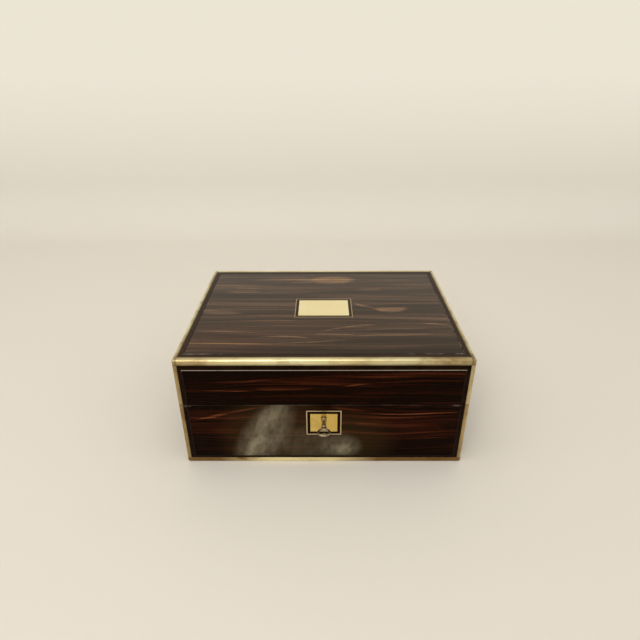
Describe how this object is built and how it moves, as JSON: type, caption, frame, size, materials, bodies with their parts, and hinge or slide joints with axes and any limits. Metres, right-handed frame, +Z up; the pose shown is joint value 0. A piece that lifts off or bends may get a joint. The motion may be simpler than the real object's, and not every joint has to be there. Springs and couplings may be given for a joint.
{
  "type": "fitted dressing box",
  "caption": "Brass-bound, veneered dressing box with a hinged lid, box lock and key, side jewel drawer, and a fitted interior of glass bottles, tray and lid mirror.",
  "frame": {"origin": "centre of the flat underside of the box, key left out", "axes": "+Z up, the front with the lock faces -Y, +X to the right seen from the front"},
  "size_m": [0.305, 0.2581, 0.135],
  "materials": {
    "coromandel": "polished coromandel veneer, dark with hazel streaks",
    "ebony": "polished ebony banding",
    "brass_binding": "rubbed brass edge binding",
    "brass_line": "inlaid brass line",
    "brass_plate": "lacquered brass plate",
    "mahogany": "polished mahogany",
    "underside_leather": "dark leather",
    "hinge_brass": "machined brass",
    "screw_brass": "brass screws",
    "lock_brass": "polished lock brass",
    "key_steel": "worn steel key",
    "velvet": "royal blue silk velvet",
    "tray_velvet": "royal blue silk velvet",
    "cut_glass": "clear cut glass",
    "silver_plate": "silver-plated tops",
    "steel_blade": "polished steel blades",
    "mother_of_pearl": "mother-of-pearl handles",
    "mirror": "silvered glass",
    "blue_leather": "blue leather, gilt tooled line",
    "spring_brass": "spring brass"
  },
  "bodies": {
    "base": {"base_front_board": "mahogany", "base_back_board": "mahogany", "base_left_board": "mahogany", "base_right_board": "mahogany", "base_bottom_board": "mahogany", "underside_leather": "underside_leather", "base_front_veneer": "coromandel", "base_back_veneer": "coromandel", "base_left_veneer": "coromandel", "base_right_veneer": "coromandel", "base_ebony_banding": "ebony", "base_stringing": "brass_line", "base_corner_binding": "brass_binding", "base_foot_binding": "brass_binding", "escutcheon_plate": "brass_plate", "lock_case": "lock_brass", "lock_cap_plate": "lock_brass", "hinge_base_leaves": "hinge_brass", "hinge_pins": "hinge_brass", "base_screws": "screw_brass", "dust_board": "mahogany", "well_divider": "velvet", "lift_out_tray": "tray_velvet", "tool_handles": "mother_of_pearl", "tool_blades": "steel_blade", "glass_bottles": "cut_glass", "glass_boxes": "cut_glass", "silver_tops": "silver_plate", "drawer_spring": "spring_brass"},
    "lid": {"lid_top_board": "mahogany", "lid_front_board": "mahogany", "lid_back_board": "mahogany", "lid_end_boards": "mahogany", "lid_top_veneer": "coromandel", "lid_front_veneer": "coromandel", "lid_back_veneer": "coromandel", "lid_end_veneers": "coromandel", "lid_ebony_banding": "ebony", "lid_stringing": "brass_line", "lid_top_binding": "brass_binding", "lid_corner_binding": "brass_binding", "plaque_plate": "brass_plate", "hinge_lid_leaves": "hinge_brass", "lid_screws": "screw_brass", "link_plate": "lock_brass", "mirror_glass": "mirror", "mirror_frame": "blue_leather", "lid_lining": "blue_leather"},
    "drawer": {"drawer_front_board": "mahogany", "drawer_front_veneer": "coromandel", "drawer_stringing": "brass_line", "drawer_ebony_banding": "ebony", "drawer_side_boards": "mahogany", "drawer_back_board": "mahogany", "drawer_bottom_board": "mahogany", "drawer_lining": "velvet"},
    "key": {"key": "key_steel"},
    "lock_bolt": {"lock_bolt": "key_steel"},
    "drawer_pin": {"drawer_pin": "hinge_brass"},
    "mirror_catch": {"mirror_catch": "lock_brass"}
  },
  "joints": [
    {"name": "lid_hinge", "type": "hinge", "parent": "base", "child": "lid", "pos_m": [0, 0.113, 0.0797], "axis": [-1, 0, 0], "range_deg": [0, 100]},
    {"name": "key_turn", "type": "hinge", "parent": "base", "child": "key", "pos_m": [0, -0.1155, 0.0608], "axis": [0, 1, 0], "range_deg": [0, 180]},
    {"name": "bolt_slide", "type": "slide", "parent": "base", "child": "lock_bolt", "axis": [1, 0, 0], "range_m": [0, 0.005]},
    {"name": "drawer_slide", "type": "slide", "parent": "base", "child": "drawer", "axis": [1, 0, 0], "range_m": [0, 0.18]},
    {"name": "drawer_pin_slide", "type": "slide", "parent": "base", "child": "drawer_pin", "axis": [0, 0, -1], "range_m": [0, 0.006]},
    {"name": "mirror_catch_turn", "type": "hinge", "parent": "lid", "child": "mirror_catch", "pos_m": [0, -0.0975, 0.119], "axis": [0, 0, 1], "range_deg": [0, 90]}
  ],
  "couplings": [
    {"joint": "bolt_slide", "follows": "key_turn", "m_per_rad": 0.0015915}
  ]
}
